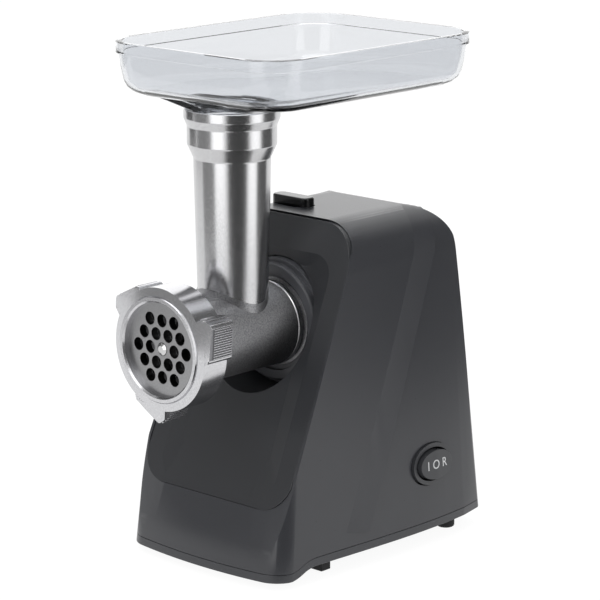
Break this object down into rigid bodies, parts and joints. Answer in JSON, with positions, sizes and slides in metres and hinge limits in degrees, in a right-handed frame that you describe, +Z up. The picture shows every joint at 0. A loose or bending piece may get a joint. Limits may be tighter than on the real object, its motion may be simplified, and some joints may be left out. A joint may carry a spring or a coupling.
{
  "type": "electric meat grinder",
  "caption": "Electric meat grinder: dark plastic motor body with a leaning front panel, metal grinding head with screw ring, upright feed tube and clear feed tray.",
  "frame": {"origin": "centre of the overall box on the table the feet stand on", "axes": "+Z up, -Y the front where the cutting plate faces, +X the side with the switch"},
  "size_m": [0.1428, 0.2212, 0.3127],
  "materials": {
    "body_plastic": "satin grained plastic",
    "panel_plastic": "satin plastic",
    "black_plastic": "gloss black plastic",
    "rubber": "matt",
    "clear_plastic": "clear",
    "cast_aluminium": "blasted and turned",
    "steel": "brushed",
    "white_nylon": "moulded",
    "grey_nylon": "moulded",
    "bronze": "sintered",
    "copper_wire": "enamelled",
    "core_iron": "laminated",
    "carbon": "matt"
  },
  "bodies": {
    "body": {"main_housing": "body_plastic", "front_panel": "panel_plastic", "socket_collar": "panel_plastic", "base_cover": "body_plastic", "base_screws": "steel", "cord_gland": "black_plastic", "gearbox_cover": "grey_nylon", "gearbox_housing": "grey_nylon", "gearbox_screws": "steel", "front_bush": "bronze", "rear_bush": "bronze", "first_axle": "steel", "second_axle": "steel", "motor_front_bridge": "cast_aluminium", "motor_rear_bridge": "cast_aluminium", "front_bearing": "bronze", "rear_bearing": "bronze", "stator_core": "core_iron", "field_coils": "copper_wire", "motor_bolts": "steel", "brush_holders": "black_plastic", "carbon_brushes": "carbon", "brush_springs": "steel", "switch_case": "black_plastic", "switch_terminals": "bronze", "button_spring": "steel", "head_casting": "cast_aluminium", "feed_tube": "steel", "front_foot_left": "rubber", "front_foot_right": "rubber", "middle_foot_left": "rubber", "middle_foot_right": "rubber", "rear_foot_left": "rubber", "rear_foot_right": "rubber"},
    "tray": {"hopper_tray": "clear_plastic"},
    "plate": {"cutting_plate": "steel"},
    "ring": {"ring_nut": "cast_aluminium"},
    "rotor": {"rotor_shaft": "steel", "motor_pinion": "steel", "armature_core": "core_iron", "armature_winding": "copper_wire", "commutator": "bronze", "cooling_fan": "white_nylon"},
    "first_gear": {"first_gear": "white_nylon"},
    "second_gear": {"second_gear": "white_nylon"},
    "feed_drive": {"output_gear": "steel", "output_shaft": "steel", "auger": "cast_aluminium", "knife": "steel", "auger_washer": "white_nylon"},
    "button": {"release_button": "black_plastic"},
    "latch": {"latch": "white_nylon"},
    "rocker": {"switch_rocker": "black_plastic"}
  },
  "joints": [
    {"name": "first_gear_spin", "type": "hinge", "parent": "body", "child": "first_gear", "pos_m": [-0.02048, 0, 0.08787], "axis": [0, 1, 0], "continuous": true},
    {"name": "rotor_spin", "type": "hinge", "parent": "body", "child": "rotor", "pos_m": [0, 0, 0.062], "axis": [0, 1, 0], "continuous": true},
    {"name": "second_gear_spin", "type": "hinge", "parent": "body", "child": "second_gear", "pos_m": [0.01577, 0, 0.09746], "axis": [0, 1, 0], "continuous": true},
    {"name": "feed_drive_spin", "type": "hinge", "parent": "body", "child": "feed_drive", "pos_m": [0, 0, 0.142], "axis": [0, 1, 0], "continuous": true},
    {"name": "plate_slide", "type": "slide", "parent": "body", "child": "plate", "axis": [0, -1, 0], "range_m": [0, 0.0061]},
    {"name": "ring_turn", "type": "hinge", "parent": "plate", "child": "ring", "pos_m": [0, 0, 0.142], "axis": [0, -1, 0], "range_deg": [0, 720]},
    {"name": "tray_lift", "type": "slide", "parent": "body", "child": "tray", "axis": [0, 0, 1], "range_m": [0, 0.035]},
    {"name": "button_press", "type": "slide", "parent": "body", "child": "button", "axis": [0, 0, -1], "range_m": [0, 0.0035], "stiffness_N_per_m": 400, "springref_m": -0.003, "deforming": ["button_spring"]},
    {"name": "latch_slide", "type": "slide", "parent": "body", "child": "latch", "axis": [0, 1, 0], "range_m": [0, 0.0035]},
    {"name": "switch_rock", "type": "hinge", "parent": "body", "child": "rocker", "pos_m": [0.06266, 0.05748, 0.04992], "axis": [-0.0801, 0, 0.9968], "range_deg": [-9, 9]}
  ],
  "couplings": [
    {"joint": "rotor_spin", "follows": "first_gear_spin", "ratio": -4.5},
    {"joint": "second_gear_spin", "follows": "first_gear_spin", "ratio": -0.25},
    {"joint": "feed_drive_spin", "follows": "first_gear_spin", "ratio": 0.071429},
    {"joint": "plate_slide", "follows": "ring_turn", "m_per_rad": 0.00047746},
    {"joint": "latch_slide", "follows": "button_press", "ratio": 1}
  ]
}
